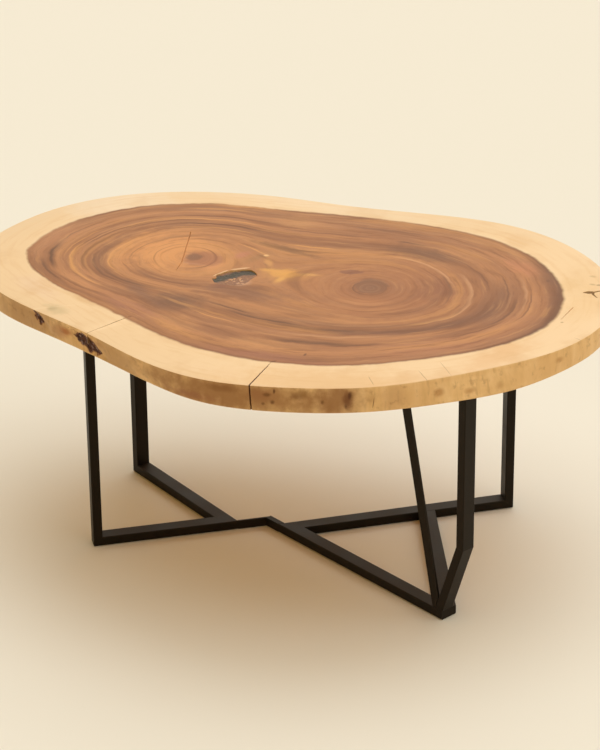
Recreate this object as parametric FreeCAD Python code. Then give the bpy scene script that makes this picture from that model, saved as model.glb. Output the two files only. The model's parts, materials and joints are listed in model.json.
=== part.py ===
import FreeCAD, Part
import math
import os

# Live edge table: one thick slab with its natural outline on a welded base of
# flat-laid rectangular steel tube. Millimetres, +Z up, floor at zero height,
# +X along the slab, -Y towards its waisted front edge.

os.makedirs("parts", exist_ok=True)

Vector = FreeCAD.Vector
up = Vector(0, 0, 1)

# Whole table
table_height = 750.0
slab_length = 1696.0
slab_width = 1170.0
slab_thickness = 65.0
top_arris_radius = 3.0
underside_arris_radius = 4.0

# Steel stock
tube_width = 40.0
tube_depth = 25.0
tube_wall = 2.0
tube_corner_radius = 2.5
flat_bar_thickness = 5.0
link_bar_width = 16.0
end_cap_thickness = 3.0

# Corner points of the two V frames on the floor, seen from above
left_corner_x = -173.0
left_corner_y = 6.0
right_corner_x = 8.0
right_corner_y = 28.0

# Floor bars: heading from the corner, and reach from the corner to the bar's outer end
left_front_angle = 213.1
left_front_reach = 369.0
left_back_angle = 146.4
left_back_reach = 428.0
right_front_angle = -28.3
right_front_reach = 603.0
right_back_angle = 34.4
right_back_reach = 627.0

# Cross bar between the two right floor bars: its middle passes the front bar's end by this
# much, and meets the back bar at this reach from the corner
cross_front_pass = 7.0
cross_back_reach = 385.0

# Bent leg and slender strut, both in the plane of the right front floor bar
knee_height = 234.0
knee_outset = 71.0
strut_width = 28.0
strut_foot_inset = 20.0
strut_lean = 146.0

# Mounting plates, their screws and the floor glides
plate_length = 92.0
plate_width = 68.0
plate_thickness = 6.0
plate_corner_radius = 6.0
plate_leg_inset = 22.0
hole_inset = 66.0
hole_spacing = 40.0
screw_diameter = 8.0
screw_clearance = 0.5
screw_length = 26.0
screw_head_across = 13.0
screw_head_height = 5.3
washer_diameter = 16.0
washer_thickness = 1.6
insert_diameter = 12.0
insert_length = 20.0
insert_clearance = 0.1
glide_diameter = 30.0
glide_thickness = 2.0
glide_inset = 45.0

# Resin-filled hollow in the heartwood
hollow_x = -135.0
hollow_y = 14.0
hollow_length = 136.0
hollow_width = 96.0
hollow_angle = 52.0
hollow_depth = 28.0
hollow_recess = 0.8

# Drying checks in from the front rim, filled level with dark resin; each tip lies this far
# behind the slab's nominal front
front_check_tip_x = 131.0
front_check_tip_inset = 149.0
front_check_length = 230.0
front_check_angle = 267.5
front_check_mouth = 6.0
left_check_tip_x = -305.0
left_check_tip_inset = 279.0
left_check_length = 230.0
left_check_angle = 243.5
left_check_mouth = 4.5
left_check_depth = 30.0

# Forked bark inclusion, in from the slab's nominal right end and back
fork_end_inset = 70.0
fork_back_inset = 371.0
fork_prong_length = 30.0
fork_prong_width = 5.0
fork_depth = 9.0

# Construction: overrun of cuts, and flats round a small turned part
cut_overrun = 200.0
round_sides = 16

# Reach of the top edge in equal steps round the slab, as shares of the half length
# and half width, starting at +X and turning towards +Y
edge_reach_shares = [
    0.990, 1.033, 1.081, 1.122, 1.125, 1.032, 0.969, 1.004,
    1.045, 1.058, 1.039, 1.014, 1.003, 0.976, 0.925, 0.864,
    0.851, 0.918, 0.992, 0.985, 0.963, 0.924, 0.920, 0.952,
]
# How far the underside edge stands outside the top edge, as shares of the thickness
flare_shares = [
    -0.06, -0.05, 0.05, 0.10, 0.05, -0.05, 0.00, 0.08,
    0.12, 0.05, -0.05, -0.10, -0.08, -0.05, -0.12, -0.20,
    -0.17, -0.25, -0.02, 0.12, 0.12, 0.25, 0.35, 0.04,
]
# Swell of the live edge half way down its side, as a share of the thickness
belly_share = 0.05
# Depths of the outlines between the arrises, as shares of the thickness
side_depth_shares = [0.33, 0.67]
# Angular broken outline of the resin-filled hollow, as shares of its half length and half width
hollow_reach_shares = [0.92, 0.95, 0.88, 0.90, 1.00, 1.00, 0.96, 0.92, 1.04, 1.08, 0.86, 0.94]
hollow_floor_share = 0.78
# Prongs of the fork: headings in degrees, and lengths as shares of the prong length
fork_prong_angles = [188.0, 38.0, -50.0]
fork_prong_length_shares = [1.00, 1.00, 0.85]

underside_height = table_height - slab_thickness
plate_bottom = underside_height - plate_thickness
bar_top = glide_thickness + tube_depth


def heading(degrees):
    turn = math.radians(degrees)
    return Vector(math.cos(turn), math.sin(turn), 0)


def side_of(direction, other):
    """Horizontal unit vector square to direction, on the side away from other."""
    square = Vector(-direction.y, direction.x, 0)
    return square if square.dot(other) < 0 else square * -1


def lines_meet(first_point, first_heading, second_point, second_heading):
    """Point where two floor-plan lines cross."""
    gap = second_point - first_point
    turn = first_heading.x * second_heading.y - first_heading.y * second_heading.x
    along = (gap.x * second_heading.y - gap.y * second_heading.x) / turn
    return first_point + first_heading * along


def placed(shape, origin, x_axis, z_axis):
    """Puts a shape drawn at zero with its own X and Z along the given directions."""
    y_axis = z_axis.cross(x_axis)
    shape.Placement = FreeCAD.Placement(FreeCAD.Matrix(
        x_axis.x, y_axis.x, z_axis.x, origin.x,
        x_axis.y, y_axis.y, z_axis.y, origin.y,
        x_axis.z, y_axis.z, z_axis.z, origin.z,
        0, 0, 0, 1))
    return shape


def cut_beyond(shape, point, normal):
    """Removes all of the shape that lies past a plane, on the side its normal points to."""
    size = 2 * slab_length
    box = Part.makeBox(size, size, size, Vector(-size / 2, -size / 2, 0))
    box.Placement = FreeCAD.Placement(point, FreeCAD.Rotation(up, normal))
    return shape.cut(box)


def rounded_rectangle(width, depth, radius):
    """Closed wire centred on zero, with arcs at its four corners."""
    arcs = []
    for quarter, (side_x, side_y) in enumerate([(1, 1), (-1, 1), (-1, -1), (1, -1)]):
        centre = Vector(side_x * (width / 2 - radius), side_y * (depth / 2 - radius), 0)
        start = 360 * quarter / 4
        arcs.append(Part.makeCircle(radius, centre, up, start, start + 360 / 4))
    edges = []
    for number, arc in enumerate(arcs):
        following = arcs[(number + 1) % len(arcs)]
        edges.append(arc)
        edges.append(Part.makeLine(arc.Vertexes[-1].Point, following.Vertexes[0].Point))
    return Part.Wire(edges)


def sharp_rectangle(width, depth):
    """Closed wire centred on zero, with square corners."""
    x = width / 2
    y = depth / 2
    corners = [Vector(x, y, 0), Vector(-x, y, 0), Vector(-x, -y, 0), Vector(x, -y, 0)]
    return Part.makePolygon(corners + corners[:1])


def flat_sided(radius, length, bottom):
    """Upright rod with the given number of flats, for small turned parts and their holes."""
    corners = [bottom + heading(360 * number / round_sides) * radius for number in range(round_sides)]
    return Part.Face(Part.makePolygon(corners + corners[:1])).extrude(up * length)


def drawn_along(face, start, end, across):
    """Section drawn out between two points, running on past both by the overrun, to be mitred."""
    along = (end - start).normalize()
    length = (end - start).Length + 2 * cut_overrun
    return placed(face.extrude(up * length), start - along * cut_overrun, across, along)


def long_tube(start, end, across, width, depth):
    outer = rounded_rectangle(width, depth, tube_corner_radius)
    inner = sharp_rectangle(width - 2 * tube_wall, depth - 2 * tube_wall)
    return drawn_along(Part.makeFace([outer, inner], "Part::FaceMakerBullseye"), start, end, across)


def long_core(start, end, across, width, depth):
    """Solid with the outer form of a tube, for the plates that close tube ends."""
    outer = rounded_rectangle(width, depth, tube_corner_radius)
    return drawn_along(Part.Face(outer), start, end, across)


def long_flat(start, end, across, width, thickness):
    """Solid flat bar between two points, running on past both by the overrun."""
    return drawn_along(Part.Face(sharp_rectangle(width, thickness)), start, end, across)


class FloorBar:
    """One flat-laid floor tube, described by its corner, heading and reach."""

    def __init__(self, corner, angle, reach):
        self.corner = corner
        self.way = heading(angle)
        self.reach = reach
        self.end = self.point(reach)
        self.across = Vector(-self.way.y, self.way.x, 0)

    def point(self, reach):
        return self.corner + self.way * reach

    def tube(self):
        return long_tube(self.corner, self.end, self.across, tube_width, tube_depth)

    def core(self):
        return long_core(self.corner, self.end, self.across, tube_width, tube_depth)


bar_middle = glide_thickness + tube_depth / 2
left_corner = Vector(left_corner_x, left_corner_y, bar_middle)
right_corner = Vector(right_corner_x, right_corner_y, bar_middle)
left_front = FloorBar(left_corner, left_front_angle, left_front_reach)
left_back = FloorBar(left_corner, left_back_angle, left_back_reach)
right_front = FloorBar(right_corner, right_front_angle, right_front_reach)
right_back = FloorBar(right_corner, right_back_angle, right_back_reach)


def corner_mitred(bar, partner):
    """Floor tube cut at its V corner on the plane that halves the angle to its partner."""
    return cut_beyond(bar.tube(), bar.corner, (partner.way - bar.way).normalize())


def foot_plane(bar):
    """Outer bottom corner and slope of the mitre between a floor bar and its upright leg."""
    corner = Vector(bar.end.x, bar.end.y, glide_thickness)
    return corner, (bar.way + up).normalize()


def floor_bar_under_leg(bar, partner):
    corner, slope = foot_plane(bar)
    return cut_beyond(corner_mitred(bar, partner), corner, slope)


def upright_leg(bar):
    """Vertical tube on the end of a floor bar, mitred into it at floor level."""
    foot = bar.end - bar.way * (tube_depth / 2)
    bottom = Vector(foot.x, foot.y, glide_thickness)
    top = Vector(foot.x, foot.y, plate_bottom)
    leg = long_tube(bottom, top, bar.across, tube_width, tube_depth)
    corner, slope = foot_plane(bar)
    leg = cut_beyond(leg, corner, slope * -1)
    return cut_beyond(leg, top, up)


def cap_seat():
    """Point on the plane where the closing plate meets the tube ends."""
    return right_front.point(right_front.reach - end_cap_thickness)


def right_front_floor_bar():
    bar = corner_mitred(right_front, right_back)
    return cut_beyond(bar, cap_seat(), right_front.way)


def outer_side(bar, partner, inset):
    """Point on a line parallel to a floor bar, inset from its face outside the V."""
    return bar.corner + side_of(bar.way, partner.way) * (tube_width / 2 - inset)


def link_joint():
    """Where the two links between the V frames meet: the crossing of the bars' outer faces."""
    return lines_meet(
        outer_side(left_front, left_back, 0), left_front.way,
        outer_side(right_front, right_back, 0), right_front.way)


def bar_on_edge(start, way, thickness):
    """Solid bar as tall as the floor tubes, through start along way and past the link joint."""
    end = start + way * ((link_joint() - start).dot(way) + tube_width)
    return long_flat(start, end, up, tube_depth, thickness)


def left_link_strip():
    """Thin flat bar on edge that carries on the outer face of the left front floor bar."""
    start = outer_side(left_front, left_back, flat_bar_thickness / 2)
    strip = bar_on_edge(start, left_front.way * -1, flat_bar_thickness)
    back_side = side_of(left_back.way, left_front.way)
    strip = cut_beyond(strip, outer_side(left_back, left_front, 0), back_side * -1)
    return cut_beyond(strip, link_joint(), right_front.way)


def right_link_bar():
    """Narrow bar that carries on the outer face of the right front floor bar."""
    start = outer_side(right_front, right_back, link_bar_width / 2)
    bar = bar_on_edge(start, right_front.way * -1, link_bar_width)
    back_side = side_of(right_back.way, right_front.way)
    bar = cut_beyond(bar, outer_side(right_back, right_front, 0), back_side * -1)
    return cut_beyond(bar, link_joint(), right_front.way * -1)


def cross_line():
    """Ends and sideways direction of the cross bar's middle line."""
    start = right_front.point(right_front.reach + cross_front_pass)
    end = right_back.point(cross_back_reach)
    along = (end - start).normalize()
    return start, end, Vector(-along.y, along.x, 0)


def beside_front_bar(bar):
    """Cross bar piece cut on the inner face of the right front floor bar."""
    front_side = side_of(right_front.way, right_back.way)
    return cut_beyond(bar, right_front.corner - front_side * (tube_width / 2), front_side)


def right_cross_bar():
    """Floor tube from the end of the right front bar across to the right back bar."""
    bar = beside_front_bar(long_tube(*cross_line(), tube_width, tube_depth))
    back_side = side_of(right_back.way, right_front.way)
    bar = cut_beyond(bar, right_back.corner - back_side * (tube_width / 2), back_side)
    return cut_beyond(bar, cap_seat(), right_front.way)


def right_front_end_cap():
    """Plate that closes the front bar's end and the slice of the cross bar open beside it."""
    cross = beside_front_bar(long_core(*cross_line(), tube_width, tube_depth))
    cap = right_front.core().fuse(cross)
    cap = cut_beyond(cap, cap_seat(), right_front.way * -1)
    return cut_beyond(cap, right_front.end, right_front.way).removeSplitter()


def knee_points():
    """Foot, knee and top of the bent leg's middle line."""
    foot = right_front.end - right_front.way * (tube_depth / 2)
    foot = Vector(foot.x, foot.y, bar_top)
    knee = foot + right_front.way * knee_outset
    knee = Vector(knee.x, knee.y, knee_height)
    return foot, knee, Vector(knee.x, knee.y, plate_bottom)


def right_bent_leg_lower():
    foot, knee, top = knee_points()
    leg = long_tube(foot, knee, right_front.across, tube_width, tube_depth)
    leg = cut_beyond(leg, foot, up * -1)
    return cut_beyond(leg, knee, ((knee - foot).normalize() + up).normalize())


def right_bent_leg_upper():
    foot, knee, top = knee_points()
    leg = long_tube(knee, top, right_front.across, tube_width, tube_depth)
    leg = cut_beyond(leg, knee, ((knee - foot).normalize() + up).normalize() * -1)
    return cut_beyond(leg, top, up)


def strut_points():
    """Foot and top of the slender strut's middle line, flush with the floor bar's outer face."""
    side = side_of(right_front.way, right_back.way)
    foot = right_front.end - right_front.way * strut_foot_inset
    foot = foot + side * (tube_width / 2 - flat_bar_thickness / 2)
    top = foot - right_front.way * strut_lean
    return Vector(foot.x, foot.y, bar_top), Vector(top.x, top.y, plate_bottom)


def right_strut():
    """Flat bar that leans from the corner of bar and bent leg up to the slab."""
    foot, top = strut_points()
    along = (top - foot).normalize()
    in_plane = right_front.across.cross(along)
    strut = long_flat(foot, top, in_plane, strut_width, flat_bar_thickness)
    leg_foot, knee, leg_top = knee_points()
    leg_way = (knee - leg_foot).normalize()
    inward = right_front.across.cross(leg_way)
    if inward.dot(right_front.way) > 0:
        inward = inward * -1
    strut = cut_beyond(strut, foot, up * -1)
    strut = cut_beyond(strut, top, up)
    return cut_beyond(strut, leg_foot + inward * (tube_depth / 2), inward * -1)


def reach_points(half_length, half_width, shares, height):
    """Points at reach shares in equal steps round an ellipse."""
    points = []
    for number, share in enumerate(shares):
        turn = 2 * math.pi * number / len(shares)
        x = half_length * share * math.cos(turn)
        y = half_width * share * math.sin(turn)
        points.append(Vector(x, y, height))
    return points


def slab_outline(depth, inset):
    """Closed smooth outline of the slab at a depth below its top, drawn in by the inset."""
    depth_share = depth / slab_thickness
    belly = belly_share * slab_thickness * math.sin(math.pi * depth_share)
    top_points = reach_points(slab_length / 2, slab_width / 2, edge_reach_shares, 0)
    points = []
    for point, flare in zip(top_points, flare_shares):
        outward = Vector(point).normalize()
        shift = flare * slab_thickness * depth_share + belly - inset
        points.append(point + outward * shift + up * (table_height - depth))
    curve = Part.BSplineCurve()
    curve.interpolate(Points=points, PeriodicFlag=True)
    return Part.Wire(curve.toShape())


def slab_blank():
    """Slab with its natural side: eased arrises, a slight belly, and an underside that flares or tucks in."""
    outlines = []
    for turn in (90, 45, 0):
        drop = top_arris_radius * (1 - math.sin(math.radians(turn)))
        inset = top_arris_radius * (1 - math.cos(math.radians(turn)))
        outlines.append(slab_outline(drop, inset))
    for share in side_depth_shares:
        outlines.append(slab_outline(share * slab_thickness, 0))
    for turn in (0, 45, 90):
        rise = underside_arris_radius * (1 - math.sin(math.radians(turn)))
        inset = underside_arris_radius * (1 - math.cos(math.radians(turn)))
        outlines.append(slab_outline(slab_thickness - rise, inset))
    return Part.makeLoft(outlines, True, True)


def wedge(tip_x, tip_inset, angle, length, mouth, depth):
    """Thin crack that widens from its tip to its mouth, cut down from above the top."""
    way = heading(angle)
    square = Vector(-way.y, way.x, 0)
    tip = Vector(tip_x, tip_inset - slab_width / 2, table_height - depth)
    outline = [tip, tip + way * length + square * (mouth / 2), tip + way * length - square * (mouth / 2), tip]
    return Part.Face(Part.makePolygon(outline)).extrude(up * (depth + slab_thickness))


def front_check():
    depth = 2 * slab_thickness
    return wedge(
        front_check_tip_x, front_check_tip_inset, front_check_angle,
        front_check_length, front_check_mouth, depth)


def left_check():
    return wedge(
        left_check_tip_x, left_check_tip_inset, left_check_angle,
        left_check_length, left_check_mouth, left_check_depth)


def hollow(top_height):
    """Natural cavity with leaning walls, from its floor up to the given height."""
    outlines = []
    for depth, share in ((hollow_depth, hollow_floor_share), (0, 1)):
        half_length = hollow_length / 2 * share
        half_width = hollow_width / 2 * share
        points = reach_points(half_length, half_width, hollow_reach_shares, table_height - depth)
        outlines.append(Part.makePolygon(points + points[:1]))
    body = Part.makeLoft(outlines, True, True)
    body.rotate(Vector(0, 0, 0), up, hollow_angle)
    body.translate(Vector(hollow_x, hollow_y, 0))
    if top_height < table_height:
        body = cut_beyond(body, up * top_height, up)
    return body


def fork():
    """Three short tapering prongs that run together, let into the top."""
    root_x = slab_length / 2 - fork_end_inset
    root_y = slab_width / 2 - fork_back_inset
    root = Vector(root_x, root_y, table_height - fork_depth)
    bodies = []
    for angle, share in zip(fork_prong_angles, fork_prong_length_shares):
        way = heading(angle)
        square = Vector(-way.y, way.x, 0)
        tip = root + way * (fork_prong_length * share)
        half = square * (fork_prong_width / 2)
        back = root - way * (fork_prong_width / 2)
        face = Part.Face(Part.makePolygon([back - half, tip, back + half, back - half]))
        bodies.append(face.extrude(up * fork_depth))
    return bodies[0].multiFuse(bodies[1:]).removeSplitter()


def plate_places():
    """Leg middle and inward heading of each mounting plate."""
    knee_top = knee_points()[2]
    strut_top = strut_points()[1]
    places = {}
    for name, bar in (("left_front", left_front), ("left_back", left_back), ("right_back", right_back)):
        foot = bar.end - bar.way * (tube_depth / 2)
        places[name + "_plate"] = (Vector(foot.x, foot.y, plate_bottom), bar.way * -1)
    places["right_bent_leg_plate"] = (knee_top, right_front.way * -1)
    places["right_strut_plate"] = (strut_top, right_front.way * -1)
    return places


def hole_places(leg_middle, inward):
    """The two screw places of one plate, side by side on its inner end."""
    square = Vector(-inward.y, inward.x, 0)
    middle = leg_middle + inward * (hole_inset - plate_leg_inset)
    return [middle + square * (side * hole_spacing / 2) for side in (-1, 1)]


def mounting_plate(leg_middle, inward):
    centre = leg_middle + inward * (plate_length / 2 - plate_leg_inset)
    outline = rounded_rectangle(plate_length, plate_width, plate_corner_radius)
    plate = Part.Face(outline).extrude(up * plate_thickness)
    placed(plate, centre, inward, up)
    radius = screw_diameter / 2 + screw_clearance
    for place in hole_places(leg_middle, inward):
        plate = plate.cut(flat_sided(radius, plate_thickness, place))
    return plate


def all_hole_places():
    places = []
    for leg_middle, inward in plate_places().values():
        places.extend(hole_places(leg_middle, inward))
    return places


def insert(place):
    """Threaded sleeve let into the slab's underside, resting on the plate."""
    bottom = Vector(place.x, place.y, underside_height)
    sleeve = flat_sided(insert_diameter / 2, insert_length, bottom)
    return sleeve.cut(flat_sided(screw_diameter / 2 + insert_clearance, insert_length, bottom))


def washer(place):
    bottom = Vector(place.x, place.y, plate_bottom - washer_thickness)
    disc = flat_sided(washer_diameter / 2, washer_thickness, bottom)
    return disc.cut(flat_sided(screw_diameter / 2 + screw_clearance, washer_thickness, bottom))


def hex_screw(place):
    seat = Vector(place.x, place.y, plate_bottom - washer_thickness)
    shank = flat_sided(screw_diameter / 2, screw_length, seat)
    circumradius = screw_head_across / 2 / math.cos(math.pi / 6)
    corners = [seat + heading(60 * number) * circumradius for number in range(7)]
    head = Part.Face(Part.makePolygon(corners)).extrude(up * -screw_head_height)
    return shank.fuse(head).removeSplitter()


def glide_places():
    """Under each floor bar near its leg, and under both V corners."""
    places = [left_corner, right_corner]
    for bar in (left_front, left_back, right_front, right_back):
        places.append(bar.end - bar.way * glide_inset)
    return places


def floor_glide(place):
    return flat_sided(glide_diameter / 2, glide_thickness, Vector(place.x, place.y, 0))


def slab_and_fills():
    """The drilled and opened slab, with the pieces that fill its checks and hollows."""
    blank = slab_blank()
    fills = {
        "front_check_fill": blank.common(front_check()),
        "left_check_fill": blank.common(left_check()),
        "fork_bark_inclusion": fork(),
        "hollow_resin_fill": hollow(table_height - hollow_recess),
    }
    slab = blank
    for cutter in (front_check(), left_check(), fork(), hollow(table_height)):
        slab = slab.cut(cutter)
    radius = insert_diameter / 2 + insert_clearance
    depth = screw_length
    for place in all_hole_places():
        bottom = Vector(place.x, place.y, underside_height)
        slab = slab.cut(flat_sided(radius, depth, bottom))
    return slab, fills


def all_pieces():
    slab, pieces = slab_and_fills()
    pieces["slab_top"] = slab
    pieces["left_front_floor_bar"] = floor_bar_under_leg(left_front, left_back)
    pieces["left_back_floor_bar"] = floor_bar_under_leg(left_back, left_front)
    pieces["right_front_floor_bar"] = right_front_floor_bar()
    pieces["right_back_floor_bar"] = floor_bar_under_leg(right_back, right_front)
    pieces["right_cross_bar"] = right_cross_bar()
    pieces["right_front_end_cap"] = right_front_end_cap()
    pieces["left_link_strip"] = left_link_strip()
    pieces["right_link_bar"] = right_link_bar()
    pieces["left_front_leg"] = upright_leg(left_front)
    pieces["left_back_leg"] = upright_leg(left_back)
    pieces["right_back_leg"] = upright_leg(right_back)
    pieces["right_bent_leg_lower"] = right_bent_leg_lower()
    pieces["right_bent_leg_upper"] = right_bent_leg_upper()
    pieces["right_strut"] = right_strut()
    for name, (leg_middle, inward) in plate_places().items():
        pieces[name] = mounting_plate(leg_middle, inward)
    places = all_hole_places()
    pieces["threaded_inserts"] = Part.makeCompound([insert(place) for place in places])
    pieces["plate_washers"] = Part.makeCompound([washer(place) for place in places])
    pieces["plate_screws"] = Part.makeCompound([hex_screw(place) for place in places])
    pieces["floor_glides"] = Part.makeCompound([floor_glide(place) for place in glide_places()])
    return pieces


def main():
    pieces = all_pieces()
    box = pieces["slab_top"].optimalBoundingBox(False, False)
    middle = Vector((box.XMin + box.XMax) / 2, (box.YMin + box.YMax) / 2, 0)
    for name, shape in pieces.items():
        shape.translate(middle * -1)
        shape.exportStep("parts/" + name + ".step")
        size = shape.BoundBox
        print(name, len(shape.Solids), round(size.ZMin, 2), round(size.ZMax, 2), shape.isValid())
    print("slab", round(box.XLength, 2), round(box.YLength, 2))
    print("moved", round(middle.x, 2), round(middle.y, 2))


main()
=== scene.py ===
import bpy
import bmesh
import json
import math
from mathutils import Matrix, Vector, geometry, noise
from mathutils.bvhtree import BVHTree


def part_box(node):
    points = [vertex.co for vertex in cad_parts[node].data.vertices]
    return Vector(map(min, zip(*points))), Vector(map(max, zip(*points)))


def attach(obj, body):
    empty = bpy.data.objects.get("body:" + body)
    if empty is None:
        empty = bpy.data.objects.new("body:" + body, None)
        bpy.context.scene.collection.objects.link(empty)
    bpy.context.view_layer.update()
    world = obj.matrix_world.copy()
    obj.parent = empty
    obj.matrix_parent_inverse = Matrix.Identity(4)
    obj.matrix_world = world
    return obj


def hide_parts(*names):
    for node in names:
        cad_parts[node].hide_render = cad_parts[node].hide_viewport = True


# Live edge table: double-heart slab on a welded black steel base.
# Metres, floor at zero height, +X along the slab, -Y towards its waisted front.

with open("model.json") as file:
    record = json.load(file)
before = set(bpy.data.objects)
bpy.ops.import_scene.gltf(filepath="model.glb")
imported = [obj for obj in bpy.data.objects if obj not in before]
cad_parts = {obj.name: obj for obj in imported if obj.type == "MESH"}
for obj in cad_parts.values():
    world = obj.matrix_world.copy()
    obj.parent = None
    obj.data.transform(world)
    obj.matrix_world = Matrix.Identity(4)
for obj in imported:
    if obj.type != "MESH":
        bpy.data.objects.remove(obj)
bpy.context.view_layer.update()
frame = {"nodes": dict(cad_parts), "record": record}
slabLow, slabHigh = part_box("slab_top")
topHeight = slabHigh.z
underHeight = slabLow.z
print("frame loaded:", len(frame["nodes"]), "nodes")


def tone(red, green, blue):  # screen colour 0-255 to the linear one that sockets take
    out = []
    for value in (red, green, blue):
        value = value / 255
        out.append(value / 12.92 if value <= 0.04045 else ((value + 0.055) / 1.055) ** 2.4)
    return (*out, 1.0)


def fill(tree, node, sockets):  # links or sets each named socket
    for name, value in sockets.items():
        if isinstance(value, bpy.types.NodeSocket):
            tree.links.new(value, node.inputs[name])
        else:
            node.inputs[name].default_value = value
    return node


def addNode(tree, kind, sockets=None, **settings):
    node = tree.nodes.new("ShaderNode" + kind)
    for name, value in settings.items():
        setattr(node, name, value)
    return fill(tree, node, sockets or {})


def sums(tree, operation, *values):
    return addNode(tree, "Math", dict(enumerate(values)), operation=operation).outputs[0]


def vectorSums(tree, operation, *values, out="Vector"):
    return addNode(tree, "VectorMath", dict(enumerate(values)), operation=operation).outputs[out]


def scaled(tree, vector, amount):
    return addNode(tree, "VectorMath", {0: vector, "Scale": amount}, operation="SCALE").outputs["Vector"]


def axisOf(tree, vector, axis):
    way = {"X": (1, 0, 0), "Y": (0, 1, 0), "Z": (0, 0, 1)}[axis]
    return vectorSums(tree, "DOT_PRODUCT", vector, way, out="Value")


def fade(tree, value, low, high, toLow=0.0, toHigh=1.0):
    given = {"Value": value, "From Min": low, "From Max": high, "To Min": toLow, "To Max": toHigh}
    return addNode(tree, "MapRange", given, interpolation_type="SMOOTHSTEP", clamp=False).outputs["Result"]


def mixed(tree, factor, first, second):
    return addNode(tree, "Mix", {0: factor, 6: first, 7: second}, data_type="RGBA").outputs[2]


def tinted(tree, colour, value, low, high, amount, tint):  # lays a tint on as the value goes from low to high
    return mixed(tree, fade(tree, value, low, high, 0.0, amount), colour, tint)


def cloud(tree, vector, scale, detail=2.0, roughness=0.5, out="Fac"):
    given = {"Vector": vector, "Scale": scale, "Detail": detail, "Roughness": roughness}
    return addNode(tree, "TexNoise", given).outputs[out]


def wander(tree, vector, scale, detail):  # cloudy offset in all directions, about zero
    return vectorSums(tree, "SUBTRACT", cloud(tree, vector, scale, detail, out="Color"), (0.5, 0.5, 0.5))


def ramp(tree, factor, stops):
    node = addNode(tree, "ValToRGB", {"Fac": factor})
    elements = node.color_ramp.elements
    elements[0].position, elements[0].color = stops[0]
    elements[1].position, elements[1].color = stops[-1]
    for position, colour in stops[1:-1]:
        elements.new(position).color = colour
    return node.outputs["Color"]


def newGroup(name, inputs, outputs):
    tree = bpy.data.node_groups.new(name, "ShaderNodeTree")
    for label, kind, value in inputs:
        socket = tree.interface.new_socket(label, in_out="INPUT", socket_type="NodeSocket" + kind)
        if value is not None:
            socket.default_value = value
    for label, kind in outputs:
        tree.interface.new_socket(label, in_out="OUTPUT", socket_type="NodeSocket" + kind)
    return tree, tree.nodes.new("NodeGroupInput").outputs, tree.nodes.new("NodeGroupOutput").inputs


def useGroup(tree, group, sockets):
    return addNode(tree, "Group", sockets, node_tree=group).outputs


def newMaterial(name):
    material = bpy.data.materials.new(name)
    material.use_nodes = True
    tree = material.node_tree
    shader = tree.nodes["Principled BSDF"]
    place = addNode(tree, "TexCoord").outputs["Object"]
    return material, tree, shader, place


def feed(tree, shader, **sockets):  # the shader's own sockets, with _ for the spaces in their names
    fill(tree, shader, {name.replace("_", " "): value for name, value in sockets.items()})


def bumped(tree, shader, height, strength, distance):
    given = {"Height": height, "Strength": strength, "Distance": distance}
    feed(tree, shader, Normal=addNode(tree, "Bump", given).outputs["Normal"])


def wayAt(angle):  # level direction at an angle from +X towards +Y
    return Vector((math.cos(angle), math.sin(angle), 0))


# camera, floor and light
cameraPlan = {
    "place": (2.3897, -6.4363, 3.84),
    "turn": 20.0,
    "tilt": 64.0,
    "roll": -0.5257,
    "lens": 139.12,
}
roomPlan = {
    "floorSize": 40.0,
    "floorColour": tone(243, 233, 214),
    "fillColour": (0.375, 0.262, 0.088, 1.0),  # warm fill, so that shadows are brown
    "lampColour": (0.755, 0.865, 1.0),  # lamps and fill together come out neutral
    "lampSpread": 58.0,
    "lamps": {  # where each soft lamp stands, seen from the table, and its strength
        "topLamp": ((0.0, 0.0, 1.0), 1.1),
        "backLamp": ((0.0, 0.58, 1.0), 1.22),
        "rightLamp": ((1.1, -0.2, 1.0), 0.87),
    },
}


def makeCamera(plan):
    camera = bpy.data.objects.new("tableCamera", bpy.data.cameras.new("tableCamera"))
    bpy.context.scene.collection.objects.link(camera)
    camera.data.lens = plan["lens"]
    turned = Matrix.Rotation(math.radians(plan["turn"]), 4, "Z")
    tilted = Matrix.Rotation(math.radians(plan["tilt"]), 4, "X")
    rolled = Matrix.Rotation(math.radians(plan["roll"]), 4, "Z")
    camera.matrix_world = Matrix.Translation(plan["place"]) @ turned @ tilted @ rolled
    bpy.context.scene.camera = camera


def makeRoom(plan):
    shape = bmesh.new()
    bmesh.ops.create_grid(shape, x_segments=1, y_segments=1, size=plan["floorSize"])
    mesh = bpy.data.meshes.new("studioFloor")
    shape.to_mesh(mesh)
    floor = bpy.data.objects.new("studioFloor", mesh)
    bpy.context.scene.collection.objects.link(floor)
    material, tree, shader, _ = newMaterial("paleFloor")
    feed(tree, shader, Base_Color=plan["floorColour"], Roughness=0.9, Specular_IOR_Level=0.1)
    mesh.materials.append(material)
    world = bpy.data.worlds.new("studioSky")
    bpy.context.scene.world = world
    world.use_nodes = True
    sky = world.node_tree
    ray = addNode(sky, "LightPath").outputs
    shiny = sums(sky, "MAXIMUM", ray["Is Glossy Ray"], ray["Is Transmission Ray"])
    seen = sums(sky, "MAXIMUM", ray["Is Camera Ray"], shiny)
    glow = mixed(sky, seen, plan["fillColour"], plan["floorColour"])
    sky.links.new(glow, sky.nodes["Background"].inputs["Color"])
    for name, (way, strength) in plan["lamps"].items():
        lamp = bpy.data.lights.new(name, "SUN")
        lamp.energy = strength
        lamp.color = plan["lampColour"]
        lamp.angle = math.radians(plan["lampSpread"])
        holder = bpy.data.objects.new(name, lamp)
        bpy.context.scene.collection.objects.link(holder)
        holder.matrix_world = (-Vector(way)).to_track_quat("-Z", "Y").to_matrix().to_4x4()


makeCamera(cameraPlan)
makeRoom(roomPlan)
bpy.context.scene.view_settings.view_transform = "Standard"
print("camera, floor and light set")


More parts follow.
